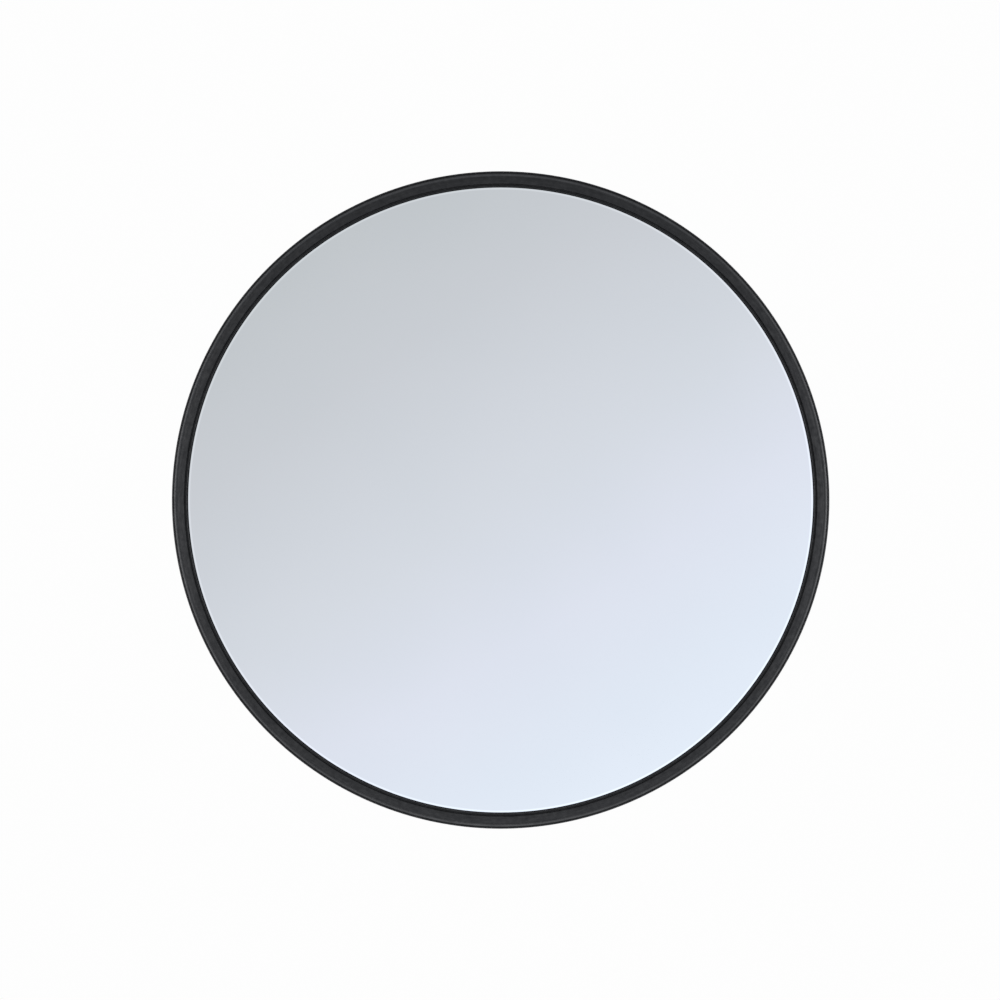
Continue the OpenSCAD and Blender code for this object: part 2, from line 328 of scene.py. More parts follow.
def eased(mesh, size):
    """Rounds every sharp edge by the given size."""
    sharp = 35.0
    bmesh.ops.remove_doubles(mesh, verts=mesh.verts, dist=WELD_DISTANCE)
    bmesh.ops.dissolve_limit(
        mesh, angle_limit=math.radians(FLAT_ANGLE), verts=mesh.verts, edges=mesh.edges
    )
    edges = [
        e for e in mesh.edges if e.is_manifold and e.calc_face_angle(0.0) > math.radians(sharp)
    ]
    bmesh.ops.bevel(
        mesh, geom=edges, offset=size, offset_type="OFFSET", segments=3,
        profile=0.5, affect="EDGES", clamp_overlap=True,
    )
    return mesh


def piece(name, mesh, place, body, material, sharp=40.0):
    """A finished piece of the object, which rides on a CAD body."""
    obj = as_object(name, placed(mesh, place))
    obj.data.shade_smooth()
    obj.data.set_sharp_from_angle(angle=math.radians(sharp))
    normals = obj.modifiers.new("even normals", "WEIGHTED_NORMAL")
    normals.keep_sharp = True
    obj.data.materials.append(material)
    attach(obj, body)
    return obj


def stand_in(node, mesh, place, material, sharp=40.0):
    """A finished piece that stands for a CAD node, on its body."""
    obj = piece(node + "_detailed", mesh, place, BODY_OF[node], material, sharp)
    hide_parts(node)
    return obj


# ---- Materials ----

NOISE_ROUGHNESS = 0.55


class Nodes:
    """A node tree, with short calls that add to it."""

    def __init__(self, tree):
        self.tree = tree

    def node(self, kind, links=None, values=None, **settings):
        """A new node with its settings made, its sockets set and its inputs linked."""
        made = self.tree.nodes.new(kind)
        for key, value in settings.items():
            setattr(made, key, value)
        for key, value in (values or {}).items():
            made.inputs[key].default_value = value
        for key, source in (links or {}).items():
            self.tree.links.new(source, made.inputs[key])
        return made

    def maths(self, operation, *sources):
        """What a maths node makes of its sources, which are sockets or plain numbers."""
        made = self.node("ShaderNodeMath", operation=operation)
        for socket, source in zip(made.inputs, sources):
            if isinstance(source, (int, float)):
                socket.default_value = source
            else:
                self.tree.links.new(source, socket)
        return made.outputs[0]


class Finish(Nodes):
    """A material, with short calls for what these materials share. Sizes are in mm."""

    def __init__(self, name, metallic=0.0, specular=0.5):
        self.material = bpy.data.materials.new(name)
        self.material.use_nodes = True
        super().__init__(self.material.node_tree)
        self.shader = self.tree.nodes["Principled BSDF"]
        self.shader.inputs["Metallic"].default_value = metallic
        self.shader.inputs["Specular IOR Level"].default_value = specular
        self.place = self.node("ShaderNodeTexCoord").outputs["Object"]

    def noise(self, size, detail, place=None, stretch=None):
        """Cloudy noise whose blobs are about size mm across."""
        where = place or self.place
        if stretch:
            mapping = self.node("ShaderNodeMapping", {"Vector": where}, {"Scale": stretch})
            where = mapping.outputs[0]
        values = {"Scale": 1 / (size * MM), "Detail": detail, "Roughness": NOISE_ROUGHNESS}
        made = self.node("ShaderNodeTexNoise", {"Vector": where}, values)
        return made.outputs["Fac"]

    def cells(self, size):
        """Rounded cells about size mm across."""
        values = {"Scale": 1 / (size * MM)}
        made = self.node("ShaderNodeTexVoronoi", {"Vector": self.place}, values)
        return made.outputs["Distance"]

    def spread(self, source, low, high, start=0.3, end=0.7):
        """A value that goes from low to high as the source goes from start to end."""
        values = {"From Min": start, "From Max": end, "To Min": low, "To Max": high}
        return self.node("ShaderNodeMapRange", {"Value": source}, values).outputs["Result"]

    def colour(self, source, dark, light, start=0.3, end=0.7):
        """Mixes two colours by the source."""
        made = self.node("ShaderNodeMix", data_type="RGBA")
        self.tree.links.new(self.spread(source, 0.0, 1.0, start, end), made.inputs["Factor"])
        made.inputs["A"].default_value = (*dark, 1.0)
        made.inputs["B"].default_value = (*light, 1.0)
        self.tree.links.new(made.outputs["Result"], self.shader.inputs["Base Color"])

    def rough(self, source, low, high):
        """Roughness that goes from low to high with the source."""
        value = self.spread(source, low, high)
        self.tree.links.new(value, self.shader.inputs["Roughness"])

    def relief(self, *layers):
        """Bumps, each given as a height from 0 to 1 and its depth in mm."""
        normal = None
        for height, depth in layers:
            links = {"Height": height}
            if normal:
                links["Normal"] = normal
            values = {"Distance": depth * MM, "Strength": 1.0}
            normal = self.node("ShaderNodeBump", links, values).outputs["Normal"]
        self.tree.links.new(normal, self.shader.inputs["Normal"])

    def from_axis(self):
        """How far a point is from the mirror's axis."""
        x, _, z = self.node("ShaderNodeSeparateXYZ", {"Vector": self.place}).outputs
        square = self.maths("ADD", self.maths("MULTIPLY", x, x), self.maths("MULTIPLY", z, z))
        return self.maths("SQRT", square)

    def along_ring(self, radius, stretch):
        """A texture place that draws noise out along circles about the mirror's axis: the
        distance from the axis and from the wall count stretch times as much as the way round."""
        x, y, z = self.node("ShaderNodeSeparateXYZ", {"Vector": self.place}).outputs
        across = self.maths("MULTIPLY", self.maths("ADD", radius, y), stretch)
        return self.node("ShaderNodeCombineXYZ", {"X": x, "Y": across, "Z": z}).outputs[0]


def mirror_finish():
    """Silvered acrylic: a clean reflection with faint waves and a trace of haze."""
    finish = Finish("mirrored_acrylic", metallic=1.0)
    finish.colour(finish.noise(90, detail=1), (0.925, 0.94, 0.95), (0.94, 0.95, 0.96))
    finish.rough(finish.noise(28, detail=5), 0.012, 0.045)
    finish.relief((finish.noise(55, detail=1), 0.012))
    return finish.material


def trim_finish():
    """Soft black vinyl: matt and faintly mottled, with fine drawing lines round the ring, and
    a painted highlight that makes the colour paler along the bead by its outer edge."""
    finish = Finish("soft_black_vinyl", specular=0.30)
    radius = finish.from_axis()
    along = finish.along_ring(radius, 7.0)
    streaks = finish.noise(9, detail=4, place=along)
    mottle = finish.maths("ADD", finish.maths("MULTIPLY", streaks, 0.5),
                          finish.maths("MULTIPLY", finish.noise(3.2, detail=5), 0.5))
    # Painted highlight: a thin paler band along the bead stands in for the light that the bead catches.
    off_bead = finish.maths("ABSOLUTE", finish.maths("SUBTRACT", radius, BEAD_AT * MM))
    painted_bead_highlight = finish.maths("MULTIPLY", finish.spread(off_bead, 1.0, 0.0, 0.3 * MM, 1.1 * MM),
                          finish.spread(finish.noise(14, detail=4), 0.55, 1.0))
    # The mottle is the vinyl's own uneven tone; the band along the bead adds the painted highlight.
    shade = finish.maths("ADD", finish.spread(mottle, 0.0, 0.26, 0.35, 0.65),
                         finish.maths("MULTIPLY", painted_bead_highlight, 0.5))
    finish.colour(shade, (0.006, 0.006, 0.0065), (0.060, 0.060, 0.061), 0.0, 1.0)
    finish.rough(streaks, 0.42, 0.64)
    lines = finish.noise(0.9, detail=2, place=finish.along_ring(radius, 30.0))
    finish.relief(
        (finish.noise(2.6, detail=3), 0.05),
        (lines, 0.02),
        (finish.noise(0.35, detail=2), 0.03),
    )
    return finish.material


def shell_finish():
    """Vacuum-formed black ABS: a fine pebbled grain over a slight unevenness of the sheet."""
    finish = Finish("grained_black_abs")
    finish.colour(finish.noise(14, detail=4), (0.0170, 0.0170, 0.0180), (0.0205, 0.0205, 0.0218))
    finish.rough(finish.noise(5, detail=5), 0.33, 0.45)
    finish.relief(
        (finish.noise(22, detail=2), 0.07),
        (finish.cells(0.9), 0.05),
        (finish.noise(0.4, detail=2), 0.02),
    )
    return finish.material


def paint_finish():
    """Black powder coat: satin, with a low orange peel."""
    finish = Finish("black_powder_coat")
    finish.colour(finish.noise(9, detail=4), (0.029, 0.029, 0.031), (0.041, 0.041, 0.044))
    finish.rough(finish.noise(2.4, detail=4), 0.26, 0.40)
    finish.relief((finish.noise(1.5, detail=2), 0.035), (finish.noise(0.4, detail=1), 0.006))
    return finish.material


def zinc_finish():
    """Bright zinc plating: cloudy grey metal with fine turning and handling marks."""
    finish = Finish("bright_zinc", metallic=1.0)
    finish.colour(finish.noise(2.2, detail=5), (0.50, 0.52, 0.55), (0.70, 0.71, 0.70))
    finish.rough(finish.noise(0.8, detail=5), 0.22, 0.42)
    finish.relief(
        (finish.noise(0.25, detail=3), 0.012),
        (finish.noise(0.5, detail=2, stretch=(1.0, 8.0, 1.0)), 0.008),
    )
    return finish.material


def brass_finish():
    """Machined brass, a little dulled."""
    finish = Finish("machined_brass", metallic=1.0)
    finish.colour(finish.noise(1.6, detail=4), (0.62, 0.44, 0.20), (0.80, 0.62, 0.32))
    finish.rough(finish.noise(0.6, detail=4), 0.24, 0.40)
    finish.relief((finish.noise(0.3, detail=2, stretch=(6.0, 1.0, 1.0)), 0.01))
    return finish.material


def knob_finish():
    """Glass-filled black nylon with a spark-eroded mould texture."""
    finish = Finish("moulded_black_nylon")
    finish.colour(finish.noise(4, detail=5), (0.014, 0.014, 0.014), (0.026, 0.026, 0.025))
    finish.rough(finish.noise(1.1, detail=5), 0.40, 0.58)
    finish.relief((finish.noise(0.45, detail=3), 0.035), (finish.noise(6, detail=2), 0.03))
    return finish.material


def nylon_finish():
    """Natural nylon: milky and slightly waxy."""
    finish = Finish("natural_nylon")
    finish.colour(finish.noise(3, detail=3), (0.50, 0.48, 0.41), (0.60, 0.58, 0.52))
    finish.rough(finish.noise(0.9, detail=3), 0.34, 0.48)
    finish.relief((finish.noise(0.6, detail=2), 0.01))
    finish.shader.inputs["Subsurface Weight"].default_value = 0.15
    finish.shader.inputs["Subsurface Radius"].default_value = (0.002, 0.0018, 0.0014)
    return finish.material


def foam_finish():
    """Closed-cell foam rubber: dark grey with a fine open grain at its cut edges."""
    finish = Finish("closed_cell_foam", specular=0.25)
    finish.colour(finish.noise(1.2, detail=4), (0.020, 0.020, 0.020), (0.045, 0.045, 0.044))
    finish.rough(finish.noise(0.7, detail=3), 0.80, 0.95)
    finish.relief((finish.cells(0.35), 0.10), (finish.noise(2.0, detail=2), 0.05))
    return finish.material


MIRROR = mirror_finish()
TRIM = trim_finish()
SHELL = shell_finish()
PAINT = paint_finish()
ZINC = zinc_finish()
BRASS = brass_finish()
KNOB = knob_finish()
NYLON = nylon_finish()
FOAM = foam_finish()


# ---- The mirror head ----

DOME_SAG = 47.6
ROLL_FROM_R = 212.1
ROLL_R = 22.5
ROLL_SLOPE = 31.0
TRIM_FACE_W = 10.8


def dome_outline():
    """The lens's front, from its top down to its flange: a long arc, then a tighter roll that
    runs in under the trim's lip."""
    curve_r = (ROLL_FROM_R**2 + DOME_SAG**2) / (2 * DOME_SAG)
    edge_slope = math.asin(ROLL_FROM_R / curve_r)
    dome_steps = 90
    points = []
    for k in range(dome_steps + 1):
        slope = edge_slope * k / dome_steps
        drop = curve_r * (1 - math.cos(slope))
        points.append(Vector((curve_r * math.sin(slope), DOME_TOP - drop)))
    roll_steps = 6
    start = points[-1]
    for k in range(1, roll_steps + 1):
        slope = edge_slope + (math.radians(ROLL_SLOPE) - edge_slope) * k / roll_steps
        along = ROLL_R * (math.sin(slope) - math.sin(edge_slope))
        drop = ROLL_R * (math.cos(edge_slope) - math.cos(slope))
        points.append(start + Vector((along, -drop)))
    return points


def make_lens():
    front = dome_outline()
    flange_front = LENS_BACK + LENS_T - 0.1
    foot_r = front[-1].x + 1.0
    edge = rounded(
        [
            (front[-1].x, front[-1].y),
            (foot_r, flange_front, 0.3),
            (FLANGE_R, flange_front, 0.4),
            (FLANGE_R, LENS_BACK, 0.3),
            (ROLL_FROM_R - 1.0, LENS_BACK),
        ],
        closed=False,
    )
    inner = [p - Vector((0, LENS_T)) for p in front if p.x < ROLL_FROM_R - 4.0]
    outline = front + edge[1:] + inner[::-1]
    outline[-1].x = 0.0
    stand_in("mirror_lens", lathe(outline, 256), ROW, MIRROR, sharp=60)


def make_edge_trim():
    """A soft U-section: the front leg has a thin low lip on the lens, a groove, a face that leans
    a little outwards, and a small bead by its outer edge."""
    slot_r = FLANGE_R + 0.1
    lip_r = MIRROR_R - TRIM_FACE_W
    front = TRIM_FRONT
    lens_front = LENS_BACK + LENS_T
    section = rounded(
        [
            # the lip and the groove
            (lip_r + 1.5, lens_front, 0.2),
            (lip_r + 0.15, front - 0.7, 0.1),
            (lip_r, front - 0.5, 0.15),
            (lip_r + 0.3, front - 0.3, 0.2),
            (lip_r + 0.8, front - 0.35, 0.3),
            (lip_r + 1.1, front - 1.5, 0.2),
            (lip_r + 1.9, front - 1.5, 0.2),
            # the leaning face
            (lip_r + 2.4, front - 0.15, 0.5),
            (lip_r + 5.4, front - 0.1, 14.0),
            (BEAD_AT - 1.1, front - 0.5, 0.8),
            # the bead and the step beyond it
            (BEAD_AT, front - 0.02, 0.9),
            (BEAD_AT + 0.85, front - 0.4, 0.4),
            (BEAD_AT + 1.15, front - 1.4, 0.1),
            (BEAD_AT + 1.55, front - 0.9, 0.2),
            # the outer wall and the back leg
            (MIRROR_R, front - 1.0, 0.4),
            (MIRROR_R, TRIM_BACK, 2.0),
            (lip_r, TRIM_BACK, 1.0),
            # the channel that grips the lens and the shell
            (lip_r, FLANGE_AT, 0.7),
            (slot_r, FLANGE_AT, 0.3),
            (slot_r, lens_front, 0.3),
        ],
        step=15,
    )
    stand_in("edge_trim", lathe(section, 288), ROW, TRIM, sharp=70)


BOSS_R = 60.0
BOSS_FOOT_R = BOSS_R + 5
BOSS_STEP = 4.0
FLOOR_FALL = 3.0
WALL_FOOT_R = FLANGE_R - 32.0
WALL_TOP_R = FLANGE_R - 19.0
RIB_W = 5.0
RIB_H = 2.6
RIB_RUN_OUT = 9.6
BEAD_W = 5.0
BEAD_H = 1.3
BEAD_RADII = [BOSS_R + k * (WALL_FOOT_R - BOSS_R) / 3 + BEAD_W / 2 for k in (1, 2)]
WEEP_HOLE_R = 2.5
WEEP_HOLE_INSET = 6.0
WEEP_HOLE_TURN = 6.0


def rib_spacing_angles(radius):
    """Directions round the shell that keep close to the sides of its parallel-sided ribs."""
    half_sector = math.pi / RIB_COUNT
    widest = 0.6 * half_sector
    offsets = [0.0, 0.45, 0.6, 0.75, 0.9, 1.05, 1.2, 1.35, 1.6]
    beside = [o * RIB_W / 2 / radius for o in offsets]
    if beside[-1] > widest:
        beside = [widest * o / offsets[-1] for o in offsets]
    between = 5
    gap = half_sector - beside[-1]
    beside += [beside[-1] + gap * k / between for k in range(1, between + 1)]
    sector = [-a for a in beside[:0:-1]] + beside[:-1]
    return [a + (2 * i + 1) * half_sector for i in range(RIB_COUNT) for a in sector]


def shell_floor(radius):
    """The shell's floor between its boss and its wall."""
    share = (radius - BOSS_FOOT_R) / (WALL_FOOT_R - BOSS_FOOT_R)
    return BOSS_AT + BOSS_STEP + FLOOR_FALL * share


def rib_top(radius):
    """How near the wall a rib reaches. Its last stretch curves away and runs out into the
    shell's side."""
    past = max(0.0, radius - (WALL_FOOT_R - RIB_RUN_OUT))
    return shell_floor(radius) - RIB_H * (1 - (past / RIB_RUN_OUT) ** 2)


def shell_back(radius, angle, height):
    """Raises the ribs and round beads from the shell's back."""
    half_sector = math.pi / RIB_COUNT
    aside = (angle % (2 * half_sector) - half_sector) * radius
    rib_share = 1 - smooth(abs(aside), 0.22 * RIB_W, 0.66 * RIB_W)
    rib_share *= smooth(radius, BOSS_R + 1, BOSS_R + 3)
    rise = max(0.0, height - rib_top(radius))
    lift = rise * rib_share
    for bead_r in BEAD_RADII:
        share = 1 - smooth(abs(radius - bead_r), 0.12 * BEAD_W, 0.60 * BEAD_W)
        lift = max(lift, BEAD_H * share)
    return radius, height - lift


def weep_hole_spot(side):
    """A weep hole's place, a little to one side of the shell's lowest point."""
    turn = turned(-90 + side * WEEP_HOLE_TURN, "Z")
    return turn @ moved(x=WALL_FOOT_R - WEEP_HOLE_INSET, z=BOSS_AT)


def shell_holes():
    """What the two weep holes and the four screw holes take out of the shell."""
    weep_length = 30.0
    screw_length = 10.0
    holes = [
        placed(prism(circle(WEEP_HOLE_R, HOLE_SIDES), weep_length), weep_hole_spot(side))
        for side in (-1, 1)
    ]
    for x, y in corners_of(MIRROR_HOLE_SPACING):
        spot = moved(x, y, BOSS_AT - screw_length / 2)
        holes.append(placed(prism(circle(SCREW_HOLE_R, HOLE_SIDES), screw_length), spot))
    return joined(holes)


def make_back_shell():
    """A dish whose flat boss has long steps across it and the rest short ones, for the ribs."""
    boss_step = 26.0
    rib_step = 1.0
    back = rounded(
        [
            (0.0, BOSS_AT),
            (BOSS_R, BOSS_AT, 2.5),
            (BOSS_FOOT_R, BOSS_AT + BOSS_STEP, 5.0),
            (WALL_FOOT_R, BOSS_AT + BOSS_STEP + FLOOR_FALL, 14.0),
            (WALL_TOP_R, FLANGE_AT, 3.0),
            (FLANGE_R, FLANGE_AT),
        ],
        closed=False,
        step=4,
    )
    inside = [p + Vector((0, SHELL_T)) for p in back]
    outline = stepped(back[:1] + [Vector((BOSS_R - 8, BOSS_AT))], boss_step)
    outline += stepped(outline[-1:] + back[1:-1], rib_step)[1:] + back[-1:]

    def back_height(radius):
        for near, far in zip(back, back[1:]):
            if near.x <= radius <= far.x and far.x > near.x:
                return near.lerp(far, (radius - near.x) / (far.x - near.x)).y
        return FLANGE_AT

    def shape(radius, angle, height):
        on_back = height < back_height(radius) + 0.1
        return shell_back(radius, angle, height) if on_back else (radius, height)

    mesh = lathe(outline + inside[::-1], angles=rib_spacing_angles, shape=shape)
    mesh = combined(mesh, shell_holes(), "DIFFERENCE", "MANIFOLD")
    stand_in("back_shell", mesh, ROW, SHELL, sharp=50)


# ---- Plates, yokes and welds ----


def make_plate(node, material, thickness, corner_r, spacing, hole_r, edge):
    """A square plate or pad with rounded corners and a hole in each of them."""
    outline = rounded([(x, y, corner_r) for x, y in square(width(node))], step=7.5)
    holes = [circle(hole_r, HOLE_SIDES, spot) for spot in corners_of(spacing)]
    mesh = eased(prism(outline, thickness, holes), edge)
    stand_in(node, mesh, out(reach(node)[0]), material)


def make_plates():
    gasket_at, gasket_end = reach("hub_gasket")
    gasket_t = gasket_end - gasket_at
    make_plate("wall_plate", PAINT, STEEL_T, 10, WALL_HOLE_SPACING, WALL_HOLE_R, 0.5)
    make_plate("mirror_plate", PAINT, STEEL_T, 10, MIRROR_HOLE_SPACING, SCREW_HOLE_R, 0.5)
    make_plate("hub_gasket", FOAM, gasket_t, 12, MIRROR_HOLE_SPACING, SCREW_HOLE_R, 0.35)


def yoke():
    """A U of bent steel: its bent section, kept inside the outline of its ears, then drilled."""
    outer_bend = 5.0
    inner_bend = 2.0
    gap = YOKE_GAP / 2
    section = rounded(
        [
            (-EAR_OUTER, -EAR_R - 1),
            (-EAR_OUTER, YOKE_REACH, outer_bend),
            (EAR_OUTER, YOKE_REACH, outer_bend),
            (EAR_OUTER, -EAR_R - 1),
            (gap, -EAR_R - 1),
            (gap, YOKE_REACH - STEEL_T, inner_bend),
            (-gap, YOKE_REACH - STEEL_T, inner_bend),
            (-gap, -EAR_R - 1),
        ],
        step=9,
    )
    foot = YOKE_BASE_H / 2
    ear = [
        Vector((EAR_R * math.cos(a), EAR_R * math.sin(a)))
        for a in (math.radians(180 + 6 * k) for k in range(31))
    ]
    ear += rounded(
        [
            (EAR_R, 0),
            (EAR_R, 4, 8.0),
            (foot, YOKE_REACH - 8, 8.0),
            (foot, YOKE_REACH + 1),
            (-foot, YOKE_REACH + 1),
            (-foot, YOKE_REACH - 8, 8.0),
            (-EAR_R, 4, 8.0),
            (-EAR_R, 0),
        ],
        closed=False,
    )[1:-1]
    bent = placed(prism(section, YOKE_BASE_H + 2), moved(y=foot + 1) @ turned(90, "X"))
    across = moved(x=-EAR_OUTER - 1) @ turned(90, "Z") @ turned(90, "X")
    body = combined(bent, placed(prism(ear, YOKE_W + 2), across), "INTERSECT")
    round_hole = prism(circle(BOLT_HOLE_R, HOLE_SIDES), YOKE_W + 2)
    body = combined(body, placed(round_hole, ALONG_X), "DIFFERENCE")
    square_hole = prism(square(2 * BOLT_HOLE_R), YOKE_W)
    body = combined(body, placed(square_hole, moved(x=-YOKE_W - 1) @ ALONG_X), "DIFFERENCE")
    return eased(body, 0.45)


def weld_bead(length, size):
    """A fillet weld along x, with the overlapping ripples that a welder's steps leave."""
    ripple = 2.2
    ripple_depth = 0.14
    ripple_lag = 0.8
    end_bluntness = 14
    smallest_end = 0.05
    steps = int(length / 0.25)
    sides = 16
    mesh = bmesh.new()
    rings = []
    for i in range(steps + 1):
        along = length * i / steps
        end_share = math.sqrt(max(0.0, 1 - abs(2 * along / length - 1) ** end_bluntness))
        crest = math.sqrt(max(0.0, 1 - (along / ripple % 1.0) ** 2))
        swell = size * (1 - ripple_depth + ripple_depth * crest) * max(smallest_end, end_share)
        ring = []
        for angle in even_angles(sides):
            lag = ripple_lag * math.cos(angle - math.pi / 4)
            spot = (along - length / 2 + lag, swell * math.cos(angle), swell * math.sin(angle))
            ring.append(mesh.verts.new(spot))
        rings.append(ring)
    for near, far in zip(rings, rings[1:]):
        for k in range(sides):
            j = (k + 1) % sides
            mesh.faces.new((near[k], near[j], far[j], far[k]))
    mesh.faces.new(rings[0][::-1])
    mesh.faces.new(rings[-1])
    bmesh.ops.recalc_face_normals(mesh, faces=mesh.faces)
    return mesh


def yoke_welds():
    """Two beads, one along each side of a yoke's foot."""
    bead = 1.8
    beads = []
    for side in (-1, 1):
        spot = moved(x=side * (EAR_OUTER + 0.4), z=YOKE_REACH - 0.5) @ turned(side * 90, "Z")
        beads.append(placed(weld_bead(YOKE_BASE_H - 4, bead), spot))
    return joined(beads)


def make_yokes():
    for node, place in (("wall_yoke", AT_PAN), ("tilt_yoke", AT_TILT)):
        stand_in(node, yoke(), place, PAINT)
        piece(node + "_welds", yoke_welds(), place, BODY_OF[node], PAINT)


# ---- Arm ----


def rod(radius, bottom, top, low_edge, high_edge, segments=96):
    """A solid rod along z, whose two edges are rounded by the given sizes."""
    outline = [(0, bottom), (radius, bottom, low_edge), (radius, top, high_edge), (0, top)]
    return lathe(rounded(outline, closed=False), segments)


def tool_across(radius, length, height, sides=HOLE_SIDES):
    """A round tool that goes across the arm at a height along it."""
    place = moved(x=-length / 2, z=height) @ ALONG_X
    return placed(prism(circle(radius, sides), length), place)


def forging():
    """An eye that flows into a round neck."""
    eye = rod(EYE_R, -KNUCKLE_W / 2, KNUCKLE_W / 2, 0.8, 0.8)
    neck = rod(NECK_R, 0, NECK_END, 0.0, 0.5)
    blended = as_object("forging", combined(placed(eye, ALONG_X), neck, "UNION"))
    remesh = blended.modifiers.new("even mesh", "REMESH")
    remesh.mode = "VOXEL"
    remesh.voxel_size = 0.5
    soften = blended.modifiers.new("fillets", "SMOOTH")
    soften.factor = 0.5
    soften.iterations = 10
    return modified(blended)


def knuckle():
    """A forged eye and neck with a machined spigot beyond, bored for its pivot and its pin."""
    spigot = rod(SPIGOT_R, NECK_END - 1, SPIGOT_END, 0.0, 1.0, 64)
    bore = tool_across(BORE_R, 2 * KNUCKLE_W, 0.0, 64)
    pin_hole = tool_across(PIN_R, 4 * TUBE_R, PIN_AT)
    body = combined(forging(), spigot, "UNION", "MANIFOLD")
    return combined(body, joined([bore, pin_hole]), "DIFFERENCE", "MANIFOLD")


def arm_tube():
    """The tube, with an upright pin hole near its rear end and a level one near its front."""
    inner_r = TUBE_R - TUBE_T
    far_end = ARM_LENGTH - NECK_END
    tube = lathe(rounded(
        [
            (inner_r, NECK_END, 0.3),
            (TUBE_R, NECK_END, 0.5),
            (TUBE_R, far_end, 0.5),
            (inner_r, far_end, 0.3),
        ]))
    tool = prism(circle(PIN_R, HOLE_SIDES), 4 * TUBE_R)
    rear_hole = placed(tool, moved(z=PIN_AT) @ turned(90, "X") @ moved(z=-2 * TUBE_R))
    front_hole = tool_across(PIN_R, 4 * TUBE_R, ARM_LENGTH - PIN_AT)
    tube = combined(tube, rear_hole, "DIFFERENCE")
    return combined(tube, front_hole, "DIFFERENCE")


def spring_pin():
    """A rolled pin with chamfered ends and its slot, seated a hair below the tube's surface."""
    length = 2 * TUBE_R
    sink = 0.45
    outer = PIN_R - 0.03
    bore = 1.5
    body = lathe(rounded(
        [
            (bore, sink),
            (outer - 0.5, sink, 0.1),
            (outer, sink + 0.6, 0.2),
            (outer, length - sink - 0.6, 0.2),
            (outer - 0.5, length - sink, 0.1),
            (bore, length - sink),
        ]), 48)
    slot = placed(prism([(0, -0.4), (4, -0.4), (4, 0.4), (0, 0.4)], length + 2), moved(z=-1))
    return combined(body, slot, "DIFFERENCE")


def make_arm():
    pins = []
    for node, place in (("rear_knuckle", REAR_END), ("front_knuckle", FRONT_END)):
        stand_in(node, knuckle(), place, PAINT, sharp=60)
        pins.append(placed(spring_pin(), place @ moved(x=-TUBE_R, z=PIN_AT) @ ALONG_X))
    stand_in("arm_tube", arm_tube(), out(PAN_AXIS), PAINT)
    stand_in("arm_pins", joined(pins), Matrix.Identity(4), ZINC)


# ---- Pivot hardware, drawn about z and laid along x ----


def carriage_bolt():
    """A domed head with a thin flat edge, a square neck and the shank."""
    length = 50.0
    head_r = 10.0
    head_h = 4.5
    dome_h = 3.8
    dome_steps = 15
    curve_r = (head_r**2 + dome_h**2) / (2 * dome_h)
    slope_end = math.asin(head_r / curve_r)
    head = [(0.0, -head_h)]
    for k in range(1, dome_steps):
        slope = slope_end * k / dome_steps
        head.append((curve_r * math.sin(slope), -head_h + curve_r * (1 - math.cos(slope))))
    head += [(head_r - 0.12, -0.72), (head_r, -0.5), (head_r - 0.1, 0.0), (BOLT_R, 0.0)]
    shank = [(BOLT_R - 0.03, length - 1), (BOLT_R - 1, length), (0.0, length)]
    neck = prism(square(2 * BOLT_R), STEEL_T - 0.1)
    return combined(lathe(head + shank), neck, "UNION")


def washer(outer_r, inner_r, thickness, edge=0.25):
    return lathe(rounded(
        [
            (inner_r, 0.0, edge),
            (outer_r, 0.0, edge),
            (outer_r, thickness, edge),
            (inner_r, thickness, edge),
        ], step=22))


def split_washer():
    """A spring washer with its slanted cut."""
    slant = 35
    ring = washer(9.0, BOLT_HOLE_R, SPRING_WASHER_T, 0.15)
    slot = prism([(3, -0.45), (10, -0.45), (10, 0.45), (3, 0.45)], 4.0)
    slanted = placed(slot, turned(slant, "X") @ moved(z=-SPRING_WASHER_T))
    return combined(ring, slanted, "DIFFERENCE")


KNOB_LOBES = 6
LOBE_SWING = 1.7
LOBE_MEAN_R = 17.25
INSERT_R = 6.98
INSERT_H = 13.9


def star_knob():
    """A lobed grip on a round hub, with a dished face and a raised centre cap.

    Its outline's points are (mean radius, height, lobed share): the share says how much of the
    lobes' swing that ring follows, from none on the hub to all of it on the grip.
    """
    rim = LOBE_MEAN_R
    rings = [
        (0.0, 16.0, 0.0), (4.4, 16.0, 0.0), (4.4, 14.0, 0.0), (7.0, 14.0, 0.0), (7.0, 0.0, 0.0),
        (10.5, 0.0, 0.0), (10.9, 0.15, 0.0), (11.0, 0.5, 0.0), (11.0, 3.3, 0.0),
        (11.2, 3.8, 0.1), (11.8, 4.0, 0.2), (rim - 2.6, 4.0, 0.9),
    ]
    low_edge = 1.8
    for k in range(7):
        angle = math.radians(15 * k)
        rings.append((rim - low_edge + low_edge * math.sin(angle),
                      4.0 + low_edge * (1 - math.cos(angle)), 1.0))
    rings += [(rim, 10.0, 1.0), (rim - 0.1, KNOB_H - 3.6, 1.0)]
    top_edge = 3.2
    for k in range(1, 9):
        angle = math.radians(11.25 * k)
        rings.append((rim - 0.1 - top_edge * (1 - math.cos(angle)),
                      KNOB_H - 0.4 - top_edge * (1 - math.sin(angle)), 1.0 - 0.02 * k))
    rings += [
        (12.4, KNOB_H - 0.35, 0.5), (10.6, KNOB_H - 0.4, 0.1), (10.1, KNOB_H - 0.55, 0.0),
        (9.8, KNOB_H - 0.95, 0.0), (9.3, KNOB_H - 1.2, 0.0), (6.4, KNOB_H - 1.2, 0.0),
        (6.0, KNOB_H - 1.1, 0.0), (5.8, KNOB_H - 0.7, 0.0), (5.4, KNOB_H - 0.5, 0.0),
        (0.0, KNOB_H - 0.35, 0.0),
    ]
    share_at = {(r, h): s for r, h, s in rings}

    def shape(radius, angle, height):
        swing = LOBE_SWING * share_at[radius, height]
        return radius + swing * math.cos(KNOB_LOBES * angle), height

    return lathe([(r, h) for r, h, _ in rings], 180, shape=shape)


